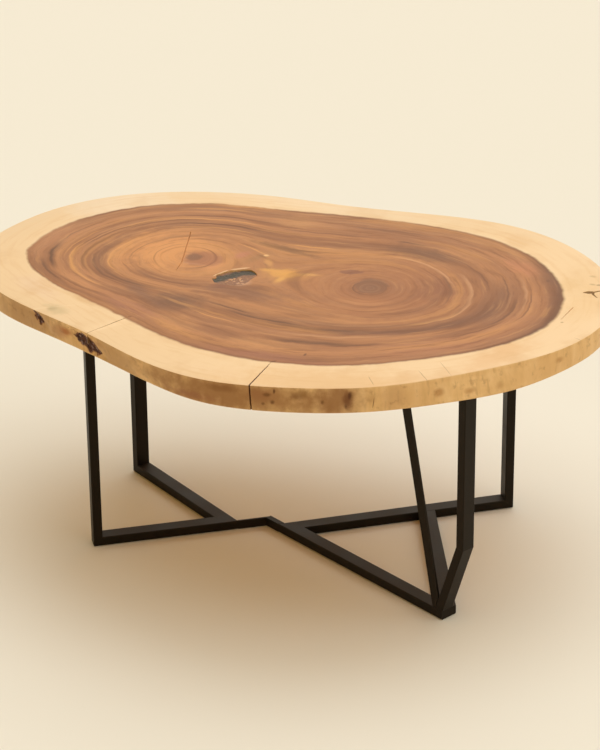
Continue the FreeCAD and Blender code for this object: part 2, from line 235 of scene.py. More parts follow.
# effects that the materials share
figurePlan = {
    "leftPith": (-0.3, 0.1, 0.0),
    "rightPith": (0.22, 0.06, 0.0),
    # how far the heartwood reaches from the slab's middle, by the angle from +X towards +Y
    "heartReach": {
        -180: 0.725, -172: 0.68, -163: 0.6, -150: 0.5, -135: 0.445, -115: 0.425, -90: 0.435,
        -70: 0.465, -50: 0.51, -35: 0.555, -15: 0.655, 0: 0.72, 10: 0.73, 25: 0.71, 45: 0.645,
        65: 0.555, 80: 0.51, 95: 0.495, 110: 0.51, 130: 0.595, 150: 0.685, 170: 0.73, 180: 0.725,
    },
    "innerRim": 0.585,  # the same reach for the rings near the middle, as pithMean gives it
    "innerReach": 0.42,
}


def pithMean(x, y):  # root of the product of the distances to both hearts
    left = math.dist((x, y), figurePlan["leftPith"][:2])
    right = math.dist((x, y), figurePlan["rightPith"][:2])
    return math.sqrt(left * right)


def ringFieldGroup():
    tree, given, result = newGroup("ringField", [("Vector", "Vector", None)], [("Depth", "Float")])
    flat = vectorSums(tree, "MULTIPLY", given["Vector"], (1, 1, 0))
    left = vectorSums(tree, "DISTANCE", flat, figurePlan["leftPith"], out="Value")
    right = vectorSums(tree, "DISTANCE", flat, figurePlan["rightPith"], out="Value")
    spread = sums(tree, "SQRT", sums(tree, "MULTIPLY", left, right))
    angle = sums(tree, "ARCTAN2", axisOf(tree, flat, "Y"), axisOf(tree, flat, "X"))
    turn = sums(tree, "MULTIPLY_ADD", angle, 0.5 / math.pi, 0.5)
    curve = addNode(tree, "FloatCurve", {"Value": turn}, name="rimCurve")
    points = curve.mapping.curves[0].points
    for degrees, reach in figurePlan["heartReach"].items():
        angle = math.radians(degrees)
        place = (degrees / 360 + 0.5, pithMean(reach * math.cos(angle), reach * math.sin(angle)))
        if abs(degrees) == 180:  # the curve starts with its two end points
            points[0 if degrees < 0 else -1].location = place
        else:
            points.new(*place)
    curve.mapping.update()
    away = vectorSums(tree, "LENGTH", flat, out="Value")
    weight = fade(tree, away, 0.0, figurePlan["innerReach"])
    inner = figurePlan["innerRim"]
    rim = sums(tree, "MULTIPLY_ADD", sums(tree, "SUBTRACT", curve.outputs[0], inner), weight, inner)
    tree.links.new(sums(tree, "DIVIDE", spread, rim), result["Depth"])
    return tree


def depthAt(x, y):  # the same field in the script, to find which ring a place is on
    mapping = ringField.nodes["rimCurve"].mapping
    mapping.initialize()
    rim = mapping.evaluate(mapping.curves[0], math.atan2(y, x) / (2 * math.pi) + 0.5)
    away = min(math.hypot(x, y) / figurePlan["innerReach"], 1)
    inner = figurePlan["innerRim"]
    return pithMean(x, y) / (inner + (rim - inner) * away * away * (3 - 2 * away))


# Each paint group lays one tint over the colour that it is given. The mix is inside the group,
# so that a long row of them stays within what one shader can hold.
paintSockets = [("Colour", "Color", None), ("Tint", "Color", None), ("Amount", "Float", 1.0)]


def crackLineGroup():  # soft-edged line between two points, thinning to nothing at its ends
    tree, given, result = newGroup("crackLine", paintSockets + [
        ("Vector", "Vector", None), ("Start", "Vector", None), ("End", "Vector", None),
        ("Width", "Float", 0.001), ("Blunt", "Float", 0.4)], [("Mask", "Float"), ("Colour", "Color")])
    run = vectorSums(tree, "SUBTRACT", given["End"], given["Start"])
    here = vectorSums(tree, "SUBTRACT", given["Vector"], given["Start"])
    along = sums(tree, "DIVIDE", vectorSums(tree, "DOT_PRODUCT", here, run, out="Value"),
                 vectorSums(tree, "DOT_PRODUCT", run, run, out="Value"))
    along = sums(tree, "MINIMUM", sums(tree, "MAXIMUM", along, 0.0), 1.0)
    away = vectorSums(tree, "DISTANCE", here, scaled(tree, run, along), out="Value")
    middle = sums(tree, "ABSOLUTE", sums(tree, "MULTIPLY_ADD", along, 2.0, -1.0))
    width = sums(tree, "MULTIPLY", given["Width"], fade(tree, middle, 1.0, given["Blunt"]))
    mask = fade(tree, sums(tree, "DIVIDE", away, sums(tree, "MAXIMUM", width, 0.00001)), 1.0, 0.4)
    tree.links.new(mask, result["Mask"])
    tree.links.new(mixed(tree, sums(tree, "MULTIPLY", mask, given["Amount"]), given["Colour"], given["Tint"]),
                   result["Colour"])
    return tree


def softSpotGroup():  # oval patch with a cloudy rim
    tree, given, result = newGroup("softSpot", paintSockets + [
        ("Vector", "Vector", None), ("Rough", "Float", 0.0), ("Centre", "Vector", None),
        ("Along", "Vector", None), ("Across", "Vector", None), ("Up", "Vector", None),
        ("Core", "Float", 0.2)], [("Colour", "Color")])
    here = vectorSums(tree, "SUBTRACT", given["Vector"], given["Centre"])
    turned = {}
    for axis, way in zip("XYZ", ("Along", "Across", "Up")):
        turned[axis] = vectorSums(tree, "DOT_PRODUCT", here, given[way], out="Value")
    shrunk = addNode(tree, "CombineXYZ", turned).outputs[0]
    away = sums(tree, "ADD", vectorSums(tree, "LENGTH", shrunk, out="Value"), given["Rough"])
    mask = sums(tree, "MULTIPLY", fade(tree, away, 1.0, given["Core"]), given["Amount"])
    tree.links.new(mixed(tree, mask, given["Colour"], given["Tint"]), result["Colour"])
    return tree


def ringMarkGroup():  # stretch of one growth ring: soft on the inner side, crisp on the outer
    tree, given, result = newGroup("ringMark", paintSockets + [
        ("Vector", "Vector", None), ("Depth", "Float", 0.0), ("At", "Float", 0.5), ("Width", "Float", 0.02),
        ("Centre", "Vector", None), ("Reach", "Float", 0.1)], [("Colour", "Color")])
    low = sums(tree, "SUBTRACT", given["At"], given["Width"])
    high = sums(tree, "MULTIPLY_ADD", given["Width"], 0.45, given["At"])
    rise = fade(tree, given["Depth"], low, given["At"])
    fall = fade(tree, given["Depth"], high, given["At"])
    away = vectorSums(tree, "DISTANCE", given["Vector"], given["Centre"], out="Value")
    window = fade(tree, sums(tree, "DIVIDE", away, given["Reach"]), 1.0, 0.3)
    ring = sums(tree, "MULTIPLY", rise, fall)
    mask = sums(tree, "MULTIPLY", ring, sums(tree, "MULTIPLY", window, given["Amount"]))
    tree.links.new(mixed(tree, mask, given["Colour"], given["Tint"]), result["Colour"])
    return tree


def edgeWearGroup():  # pale rubbed corners: where a rounded normal leaves the flat one
    tree, given, result = newGroup("edgeWear", [
        ("Vector", "Vector", None), ("Scale", "Float", 60.0), ("Reach", "Float", 0.0015),
        ("Amount", "Float", 0.5)], [("Mask", "Float")])
    soft = addNode(tree, "Bevel", {"Radius": given["Reach"]}, samples=4).outputs["Normal"]
    turn = vectorSums(tree, "DOT_PRODUCT", soft, addNode(tree, "NewGeometry").outputs["Normal"], out="Value")
    edge = fade(tree, turn, 0.98, 0.8)
    patches = fade(tree, cloud(tree, given["Vector"], given["Scale"], 3.0), 0.46, 0.64)
    rubbed = sums(tree, "MULTIPLY", edge, patches)
    tree.links.new(sums(tree, "MULTIPLY", rubbed, given["Amount"]), result["Mask"])
    return tree


ringField = ringFieldGroup()
crackLine = crackLineGroup()
softSpot = softSpotGroup()
ringMark = ringMarkGroup()
edgeWear = edgeWearGroup()


# wood of the slab
woodPlan = {
    "heartBands": [  # colour from the hearts outwards to the sapwood
        (0.0, tone(150, 103, 68)), (0.12, tone(164, 111, 73)), (0.22, tone(180, 122, 78)),
        (0.4, tone(192, 131, 82)), (0.5, tone(180, 121, 76)), (0.58, tone(192, 131, 82)),
        (0.64, tone(170, 114, 72)), (0.7, tone(162, 107, 68)), (0.76, tone(186, 126, 80)),
        (0.82, tone(170, 113, 72)), (0.88, tone(190, 129, 82)), (0.93, tone(172, 115, 73)),
        (0.975, tone(178, 121, 77)), (0.995, tone(162, 109, 68)),
    ],
    "greyFlow": tone(130, 84, 56),
    "goldFlow": tone(214, 150, 86),
    "hairLine": tone(110, 71, 44),
    "laneStretch": 0.16,
    "streaks": {"broad": (13.0, 2.0, 0.5), "narrow": (42.0, 2.0, 0.5), "hair": (190.0, 3.0, 0.6)},
    "flows": [  # tints along the streaks: which, where they start and end, strength and tint
        ("broad", 0.52, 0.7, 0.4, "greyFlow"), ("broad", 0.46, 0.3, 0.35, "goldFlow"),
        ("narrow", 0.54, 0.72, 0.4, "greyFlow"), ("narrow", 0.44, 0.28, 0.3, "goldFlow"),
        ("hair", 0.52, 0.75, 0.26, "hairLine"),
    ],
    "patchCore": 0.7,
    "rimLine": tone(120, 80, 52),
    "sapPale": tone(247, 209, 160),
    "sapRim": tone(249, 212, 164),
    "sapStreak": tone(228, 180, 124),
    # painted highlight colour for the lit back rim of the hollow
    "hollowRimHighlight": tone(236, 190, 142),
    "sideBands": [(0.25, tone(218, 173, 112)), (0.5, tone(236, 191, 130)), (0.75, tone(246, 205, 148))],
    "sideStreak": tone(158, 112, 64),
    "underPale": tone(206, 160, 108),
    "slitDark": tone(112, 72, 40),
    "grainHeight": 0.0015,
}
darkRing = tone(108, 68, 42)
brownRing = tone(134, 87, 56)
smokyRing = tone(130, 85, 58)
goldRing = tone(226, 160, 92)
paleRing = tone(208, 152, 106)
# rings that stand out: a place on the ring, how far along it shows, its width, colour and strength
ringMarks = [
    (-0.572, 0.06, 0.2, 0.012, darkRing, 0.7), (-0.56, 0.19, 0.16, 0.008, darkRing, 0.6),
    (-0.45, 0.3, 0.17, 0.01, darkRing, 0.6), (-0.29, 0.328, 0.2, 0.01, darkRing, 0.75),
    (-0.17, 0.335, 0.14, 0.01, darkRing, 0.55), (-0.29, 0.385, 0.19, 0.009, darkRing, 0.6),
    (-0.38, 0.41, 0.16, 0.008, brownRing, 0.7), (-0.525, 0.06, 0.15, 0.022, brownRing, 0.6),
    (-0.655, -0.01, 0.12, 0.019, darkRing, 0.95), (-0.62, -0.105, 0.11, 0.012, darkRing, 0.75),
    (-0.49, -0.06, 0.16, 0.01, darkRing, 0.65), (-0.4, -0.1, 0.15, 0.012, darkRing, 0.6),
    (-0.6, 0.1, 0.15, 0.006, darkRing, 0.55), (-0.44, 0.13, 0.14, 0.005, brownRing, 0.5),
    (-0.222, 0.105, 0.13, 0.007, brownRing, 0.75), (-0.385, 0.12, 0.12, 0.004, brownRing, 0.45),
    (-0.65, 0.16, 0.14, 0.006, brownRing, 0.6), (-0.5, -0.17, 0.16, 0.012, brownRing, 0.6),
    (-0.595, -0.01, 0.13, 0.014, goldRing, 0.7), (-0.53, -0.1, 0.13, 0.012, goldRing, 0.6),
    (-0.5, 0.06, 0.18, 0.01, goldRing, 0.6), (-0.3, 0.302, 0.16, 0.009, goldRing, 0.6),
    (-0.3, 0.36, 0.17, 0.009, goldRing, 0.55), (-0.33, 0.432, 0.15, 0.01, goldRing, 0.55),
    (-0.62, 0.1, 0.14, 0.006, goldRing, 0.45), (-0.3, -0.07, 0.13, 0.012, brownRing, 0.55),
    (0.57, 0.06, 0.2, 0.066, smokyRing, 0.75), (0.535, -0.04, 0.16, 0.056, smokyRing, 0.7),
    (0.45, -0.13, 0.17, 0.04, smokyRing, 0.9), (0.3, -0.205, 0.17, 0.03, smokyRing, 0.9),
    (0.16, -0.226, 0.17, 0.02, darkRing, 0.75), (0.02, -0.208, 0.15, 0.014, darkRing, 0.8),
    (-0.08, -0.172, 0.09, 0.01, darkRing, 0.8),
    (0.18, -0.306, 0.14, 0.026, darkRing, 0.8), (0.29, -0.286, 0.1, 0.014, darkRing, 0.65),
    (0.64, 0.3, 0.12, 0.045, smokyRing, 0.8), (0.686, 0.2, 0.14, 0.04, smokyRing, 0.85),
    (0.712, 0.08, 0.14, 0.026, darkRing, 0.65), (0.712, -0.01, 0.13, 0.02, darkRing, 0.6),
    (0.68, -0.11, 0.13, 0.016, darkRing, 0.5),
    (0.605, 0.02, 0.14, 0.01, darkRing, 0.65), (0.565, -0.1, 0.11, 0.008, darkRing, 0.55),
    (0.642, 0.08, 0.15, 0.006, darkRing, 0.55), (0.43, 0.09, 0.12, 0.006, brownRing, 0.6),
    (0.47, 0.23, 0.13, 0.006, brownRing, 0.7), (0.56, 0.17, 0.13, 0.006, darkRing, 0.55),
    (0.175, 0.07, 0.14, 0.006, darkRing, 0.6), (0.36, -0.06, 0.12, 0.005, brownRing, 0.5),
    (0.42, 0.11, 0.07, 0.012, brownRing, 0.6), (0.4, 0.16, 0.06, 0.008, brownRing, 0.6),
    (0.475, -0.03, 0.15, 0.012, paleRing, 0.7), (0.622, 0.13, 0.15, 0.01, paleRing, 0.65),
    (0.33, 0.24, 0.17, 0.009, paleRing, 0.9), (0.23, -0.18, 0.19, 0.011, paleRing, 0.55),
    (0.47, 0.14, 0.12, 0.012, paleRing, 0.7), (0.44, -0.08, 0.09, 0.012, goldRing, 0.55),
    (0.59, 0.06, 0.12, 0.008, paleRing, 0.5), (0.23, -0.255, 0.2, 0.012, paleRing, 0.5),
    (-0.05, 0.226, 0.13, 0.017, darkRing, 0.9), (-0.01, 0.262, 0.09, 0.01, goldRing, 0.75),
    (-0.15, 0.195, 0.07, 0.007, goldRing, 0.7), (0.24, 0.372, 0.06, 0.012, darkRing, 0.75),
    (0.23, 0.31, 0.11, 0.02, brownRing, 0.7), (0.0, 0.362, 0.18, 0.008, brownRing, 0.65),
    (0.15, 0.435, 0.18, 0.012, brownRing, 0.55), (-0.13, -0.06, 0.12, 0.014, brownRing, 0.55),
    (-0.1, -0.235, 0.09, 0.006, goldRing, 0.6), (-0.12, -0.215, 0.08, 0.005, darkRing, 0.5),
]
# soft areas of colour in the heartwood: middle, reach, turn in degrees, colour and strength
heartZones = [
    ((-0.36, 0.115), (0.22, 0.19), 0, (226, 155, 92), 0.85),
    ((-0.69, 0.08), (0.07, 0.24), 0, (196, 134, 91), 0.6),
    ((-0.28, 0.475), (0.13, 0.04), 5, (212, 151, 90), 0.75),
    ((-0.1, 0.41), (0.08, 0.06), 0, (204, 145, 92), 0.65),
    ((0.22, 0.41), (0.3, 0.09), 0, (160, 105, 68), 0.75),
    ((0.29, 0.31), (0.15, 0.06), -8, (134, 91, 62), 0.9),
    ((-0.075, 0.227), (0.16, 0.021), -14, (116, 75, 50), 0.95),
    ((0.56, 0.31), (0.1, 0.05), -40, (200, 131, 88), 0.8),
    ((0.28, 0.06), (0.34, 0.28), 0, (168, 109, 70), 0.85),
    ((0.39, 0.11), (0.085, 0.115), 0, (150, 95, 62), 0.75),
    ((0.24, -0.04), (0.11, 0.05), 10, (194, 131, 84), 0.7),
    ((-0.23, -0.18), (0.11, 0.085), 0, (128, 87, 60), 0.9),
    ((-0.335, -0.15), (0.12, 0.035), -35, (142, 98, 70), 0.8),
    ((-0.09, -0.075), (0.19, 0.07), 4, (144, 97, 68), 0.8),
    ((-0.17, -0.3), (0.11, 0.06), -35, (208, 145, 90), 0.7),
    ((0.08, -0.345), (0.17, 0.045), 0, (208, 145, 90), 0.8),
    ((0.1, -0.41), (0.28, 0.035), 0, (168, 110, 80), 0.8),
    ((-0.33, -0.245), (0.16, 0.035), -27, (172, 114, 83), 0.7),
    ((-0.5, -0.13), (0.13, 0.05), -35, (206, 142, 93), 0.6),
    ((0.48, -0.23), (0.18, 0.06), 35, (188, 127, 86), 0.6),
    ((-0.17, 0.15), (0.022, 0.045), -25, (198, 128, 94), 0.75),
    ((-0.125, 0.15), (0.022, 0.075), -25, (168, 119, 74), 0.65),
    ((-0.215, 0.06), (0.05, 0.06), 0, (216, 147, 94), 0.7),
    ((-0.118, -0.01), (0.046, 0.036), -25, (214, 165, 130), 0.95),
    ((-0.15, -0.052), (0.04, 0.02), 10, (136, 87, 66), 0.6),
    ((-0.265, 0.095), (0.07, 0.065), 0, (176, 119, 82), 0.75),
    ((-0.286, 0.098), (0.03, 0.036), 0, (130, 92, 64), 0.9),
    ((-0.27, 0.058), (0.055, 0.008), 0, (216, 159, 114), 0.75),
    ((0.24, 0.07), (0.1, 0.09), 0, (158, 105, 70), 0.6),
    ((0.226, 0.068), (0.016, 0.018), 0, (126, 86, 60), 0.5),
    ((-0.02, 0.072), (0.09, 0.055), 10, (214, 151, 82), 0.85),
    ((-0.02, 0.075), (0.055, 0.03), 0, (228, 167, 84), 0.9),
    ((-0.058, 0.084), (0.05, 0.016), 8, (224, 163, 86), 0.8),
    ((0.04, 0.088), (0.055, 0.013), 10, (218, 159, 92), 0.75),
    ((-0.018, 0.036), (0.016, 0.042), -12, (230, 169, 90), 0.8),
    ((-0.085, 0.13), (0.016, 0.055), 32, (216, 155, 90), 0.7),
    # painted highlight: a small bright spot at the end of the dark streak behind the hollow
    ((-0.107, 0.171), (0.01, 0.009), 0, (252, 205, 144), 0.95),
    ((0.645, 0.25), (0.008, 0.014), 20, (110, 71, 46), 0.85),
    ((0.196, -0.371), (0.005, 0.011), 0, (116, 75, 48), 0.85),
    ((0.035, 0.482), (0.06, 0.012), 14, (150, 102, 66), 0.85),
]
# patches with a crisper rim
heartPatches = [
    ((0.222, 0.07), (0.05, 0.056), 0, (140, 95, 66), 0.8),
    ((-0.258, 0.096), (0.062, 0.054), 0, (172, 111, 76), 0.6),
    ((-0.286, 0.098), (0.022, 0.026), 0, (128, 89, 60), 0.5),
    ((-0.022, 0.074), (0.05, 0.03), 8, (226, 159, 82), 0.55),
    ((0.14, 0.14), (0.036, 0.016), 15, (140, 89, 66), 0.7),
]
# and in the sapwood; the pale zones along the back (the first, second and fifth) are partly the sapwood's own
# tone, partly painted sheen of the back of the top
sapZones = [
    ((-0.1, 0.54), (0.5, 0.06), 0, (252, 221, 180), 0.6),
    ((-0.62, 0.4), (0.22, 0.2), 0, (253, 224, 186), 0.7),
    ((0.31, -0.5), (0.48, 0.12), 14, (238, 192, 136), 0.8),
    ((-0.6, -0.21), (0.14, 0.06), -35, (246, 210, 172), 0.6),
    ((-0.66, 0.33), (0.12, 0.12), 0, (250, 219, 180), 0.5),
    ((-0.45, -0.245), (0.13, 0.022), -27, (222, 174, 118), 0.6),
    ((-0.15, -0.4), (0.15, 0.03), -22, (238, 196, 146), 0.5),
    ((0.66, -0.18), (0.06, 0.045), 30, (238, 192, 136), 0.7),
    ((0.77, 0.15), (0.09, 0.16), 0, (241, 198, 142), 0.55),
    ((0.74, 0.3), (0.08, 0.14), 25, (240, 199, 146), 0.6),
    ((0.52, 0.47), (0.12, 0.06), -30, (244, 202, 150), 0.5),
    ((-0.495, -0.325), (0.06, 0.036), -20, (220, 190, 142), 0.7),
    ((-0.51, -0.322), (0.022, 0.018), 0, (200, 172, 126), 0.6),
    ((0.777, 0.266), (0.01, 0.008), 0, (176, 142, 96), 0.7),
    ((0.76, 0.265), (0.012, 0.007), 0, (188, 152, 104), 0.6),
    ((0.748, 0.315), (0.014, 0.009), 0, (204, 168, 118), 0.6),
    ((0.746, 0.014), (0.006, 0.006), 0, (176, 138, 88), 0.7),
    ((0.705, 0.25), (0.045, 0.06), 0, (234, 192, 136), 0.6),
    ((0.645, -0.235), (0.18, 0.07), 63, (238, 190, 136), 0.75),
]
# fine drying checks at the rim of the top, and, with a minus strength, pale lines that paint the highlight on
# the hollow's lit back rim: start, end, width and strength
rimChecksAndHighlights = [
    ((0.381, -0.433), (0.412, -0.481), 0.0016, 0.35), ((0.484, -0.362), (0.533, -0.422), 0.0016, 0.35),
    ((0.518, -0.297), (0.576, -0.372), 0.0014, 0.3), ((0.128, -0.44), (0.142, -0.425), 0.0035, 0.9),
    ((-0.306, -0.309), (-0.296, -0.3), 0.003, 0.6), ((0.795, -0.06), (0.842, -0.085), 0.0016, 0.3),
    # painted highlight: two pale lines along the hollow's back rim, where its wall catches the light
    ((-0.194, -0.004), (-0.166, 0.052), 0.0045, -0.9), ((-0.168, 0.05), (-0.116, 0.085), 0.0045, -0.9),
]
# the live edge: soft areas of colour, with the reach in all three directions
sideZones = [
    ((0.075, -0.568, 0.72), (0.42, 0.12, 0.08), 0, (166, 118, 70), 0.95),
    ((-0.26, -0.47, 0.715), (0.18, 0.12, 0.08), 0, (190, 144, 88), 0.8),
    ((-0.01, -0.56, 0.7), (0.11, 0.06, 0.02), 0, (158, 100, 66), 0.6),
    ((0.06, -0.57, 0.735), (0.06, 0.06, 0.014), 0, (138, 90, 44), 0.6),
    ((0.15, -0.575, 0.728), (0.05, 0.06, 0.02), 0, (158, 104, 62), 0.6),
    ((0.253, -0.552, 0.736), (0.035, 0.04, 0.016), 0, (142, 98, 46), 0.7),
    ((0.5, -0.43, 0.715), (0.12, 0.14, 0.06), 0, (212, 164, 106), 0.4),
    ((0.335, -0.528, 0.715), (0.105, 0.08, 0.07), 0, (154, 106, 62), 0.85),
    ((0.76, -0.2, 0.715), (0.15, 0.22, 0.06), 0, (226, 178, 118), 0.6),
    ((-0.47, -0.38, 0.715), (0.05, 0.06, 0.03), 0, (196, 128, 72), 0.7),
    ((-0.58, -0.315, 0.715), (0.29, 0.15, 0.09), 0, (192, 148, 98), 0.9),
    ((-0.44, -0.395, 0.725), (0.03, 0.04, 0.016), 0, (178, 104, 50), 0.8),
    ((-0.33, -0.445, 0.73), (0.03, 0.04, 0.012), 0, (188, 140, 86), 0.6),
    ((0.186, -0.568, 0.739), (0.004, 0.03, 0.008), 0, (92, 54, 22), 0.85),
    ((0.17, -0.573, 0.73), (0.014, 0.03, 0.007), 0, (112, 70, 32), 0.75),
    ((0.183, -0.573, 0.711), (0.008, 0.03, 0.008), 0, (104, 66, 30), 0.8),
    ((0.161, -0.578, 0.706), (0.007, 0.03, 0.006), 0, (110, 72, 36), 0.7),
    ((0.3, -0.542, 0.715), (0.006, 0.03, 0.008), 0, (108, 68, 32), 0.75),
    ((0.24, -0.556, 0.728), (0.024, 0.03, 0.014), 0, (126, 82, 42), 0.6),
    ((0.358, -0.52, 0.716), (0.017, 0.03, 0.036), 0, (112, 66, 34), 0.8),
    ((0.362, -0.516, 0.73), (0.006, 0.03, 0.013), 0, (84, 46, 20), 0.8),
    ((0.354, -0.524, 0.703), (0.006, 0.03, 0.011), 0, (90, 52, 24), 0.75),
    ((0.455, -0.462, 0.715), (0.05, 0.05, 0.05), 0, (206, 160, 108), 0.6),
    ((0.551, -0.4, 0.715), (0.016, 0.03, 0.014), 0, (178, 124, 66), 0.6),
    ((0.617, -0.349, 0.707), (0.02, 0.03, 0.012), 0, (182, 128, 70), 0.6),
    ((0.675, -0.297, 0.705), (0.012, 0.03, 0.016), 0, (180, 128, 72), 0.5),
    ((0.785, -0.145, 0.723), (0.016, 0.03, 0.012), 0, (188, 134, 74), 0.6),
    ((-0.7, 0.3, 0.715), (0.2, 0.2, 0.08), 0, (196, 150, 96), 0.5),
    ((0.1, 0.58, 0.715), (0.5, 0.12, 0.08), 0, (176, 130, 80), 0.6),
]
# thin dark lines on the live edge
sideLines = [
    ((0.418, -0.487, 0.747), (0.412, -0.493, 0.69), 0.0016, 0.7),
    ((0.47, -0.452, 0.745), (0.474, -0.45, 0.7), 0.0012, 0.4),
    ((0.64, -0.33, 0.74), (0.65, -0.322, 0.696), 0.0012, 0.4),
    ((0.7, -0.268, 0.744), (0.706, -0.262, 0.712), 0.001, 0.4),
]
# bark left in the edge: two lens-shaped pockets, each along a line
barkPlan = {
    "pockets": [
        {"start": (-0.566, -0.336, 0.754), "end": (-0.5, -0.364, 0.702), "width": 0.0095, "depth": 0.004},
        {"start": (-0.446, -0.391, 0.738), "end": (-0.3, -0.458, 0.694), "width": 0.019, "depth": 0.007},
    ],
    "hollowed": 1.6,  # how much wider than the pocket its hollow is, and its paint
    "painted": 1.5,
    "torn": 0.026,
    "flakes": [
        (0.4, tone(36, 20, 14)), (0.5, tone(104, 58, 38)), (0.54, tone(36, 20, 14)),
        (0.62, tone(140, 112, 104)),
    ],
    "stain": tone(148, 92, 48),
}

def paintZones(tree, colour, place, rough, zones, core=0.15):
    for middle, reach, turn, tint, amount in zones:
        long, wide, high = (*reach, 10)[:3]  # a zone with two reaches goes through the whole slab
        way = wayAt(math.radians(turn))
        given = {"Colour": colour, "Tint": tone(*tint), "Amount": amount, "Vector": place, "Rough": rough,
                 "Centre": (*middle, 0)[:3], "Along": way / long, "Across": Vector((-way.y, way.x, 0)) / wide,
                 "Up": (0, 0, 1 / high), "Core": core}
        colour = useGroup(tree, softSpot, given)["Colour"]
    return colour


def paintRings(tree, colour, place, depth, marks):
    nudge = 0.001
    for x, y, reach, width, tint, amount in marks:
        at = depthAt(x, y)
        steep = math.hypot(depthAt(x + nudge, y) - at, depthAt(x, y + nudge) - at) / nudge
        given = {"Colour": colour, "Tint": tint, "Amount": amount, "Vector": place, "Depth": depth,
                 "At": at, "Width": width * steep, "Centre": (x, y, 0), "Reach": reach}
        colour = useGroup(tree, ringMark, given)["Colour"]
    return colour


def paintLines(tree, colour, place, lines, dark, pale):  # a minus strength paints the pale tint
    for start, end, width, amount in lines:
        given = {"Colour": colour, "Tint": dark if amount > 0 else pale, "Amount": abs(amount),
                 "Vector": place, "Start": (*start, 0)[:3], "End": (*end, 0)[:3], "Width": width}
        colour = useGroup(tree, crackLine, given)["Colour"]
    return colour


def heartColour(tree, flat, level, rough, depth, streaks):
    plan = woodPlan
    heart = ramp(tree, depth, plan["heartBands"])
    heart = paintZones(tree, heart, level, rough, heartZones)
    heart = paintRings(tree, heart, level, depth, ringMarks)
    heart = paintZones(tree, heart, level, rough, heartPatches, plan["patchCore"])
    calm = fade(tree, depth, 0.08, 0.55, 0.18, 1.0)  # streaks grow weaker towards the hearts
    for name, low, high, amount, tint in plan["flows"]:
        streak = sums(tree, "MULTIPLY", fade(tree, streaks[name], low, high, 0.0, amount), calm)
        heart = mixed(tree, streak, heart, plan[tint])
    # a broken dark line at the rim, stronger towards the right
    broken = fade(tree, streaks["broad"], 0.35, 0.6, 0.1, 0.6)
    rightwards = fade(tree, axisOf(tree, flat, "X"), -0.4, 0.4, 0.12, 1.0)
    broken = sums(tree, "MULTIPLY", broken, rightwards)
    edgeLine = sums(tree, "MULTIPLY", fade(tree, depth, 0.975, 0.992), broken)
    return mixed(tree, edgeLine, heart, plan["rimLine"])


def sapColour(tree, place, level, rough, depth, narrow):
    plan = woodPlan
    sap = mixed(tree, fade(tree, depth, 1.02, 1.25), plan["sapPale"], plan["sapRim"])
    # the pale zones along the back partly paint the sheen there
    sap = paintZones(tree, sap, level, rough, sapZones)
    sap = tinted(tree, sap, narrow, 0.5, 0.72, 0.22, plan["sapStreak"])
    return tinted(tree, sap, cloud(tree, place, 9.0, 3.0), 0.52, 0.72, 0.35, plan["sapStreak"])


def sideColour(tree, place, wavering, rough):  # the live edge, whose streaks run down the trunk
    plan = woodPlan
    upright = vectorSums(tree, "MULTIPLY", place, (1, 1, 0.14))
    side = ramp(tree, cloud(tree, upright, 34.0, 4.0, 0.6), plan["sideBands"])
    side = paintZones(tree, side, wavering, rough, sideZones)
    side = tinted(tree, side, cloud(tree, upright, 90.0, 3.0), 0.57, 0.76, 0.28, plan["sideStreak"])
    side = tinted(tree, side, cloud(tree, place, 45.0, 4.0, 0.6), 0.55, 0.72, 0.4, plan["sideStreak"])
    return paintLines(tree, side, wavering, sideLines, plan["slitDark"], plan["sapPale"])


def barkMask(tree, place, wavering):  # where bark is left in the edge, with torn outlines
    ragged = vectorSums(tree, "ADD", wavering, scaled(tree, wander(tree, place, 55.0, 3.0), barkPlan["torn"]))
    pocketed = 0.0
    for pocket in barkPlan["pockets"]:
        given = {"Vector": ragged, "Start": pocket["start"], "End": pocket["end"],
                 "Width": pocket["width"] * barkPlan["painted"], "Blunt": 0.1}
        pocketed = sums(tree, "MAXIMUM", pocketed, useGroup(tree, crackLine, given)["Mask"])
    return pocketed


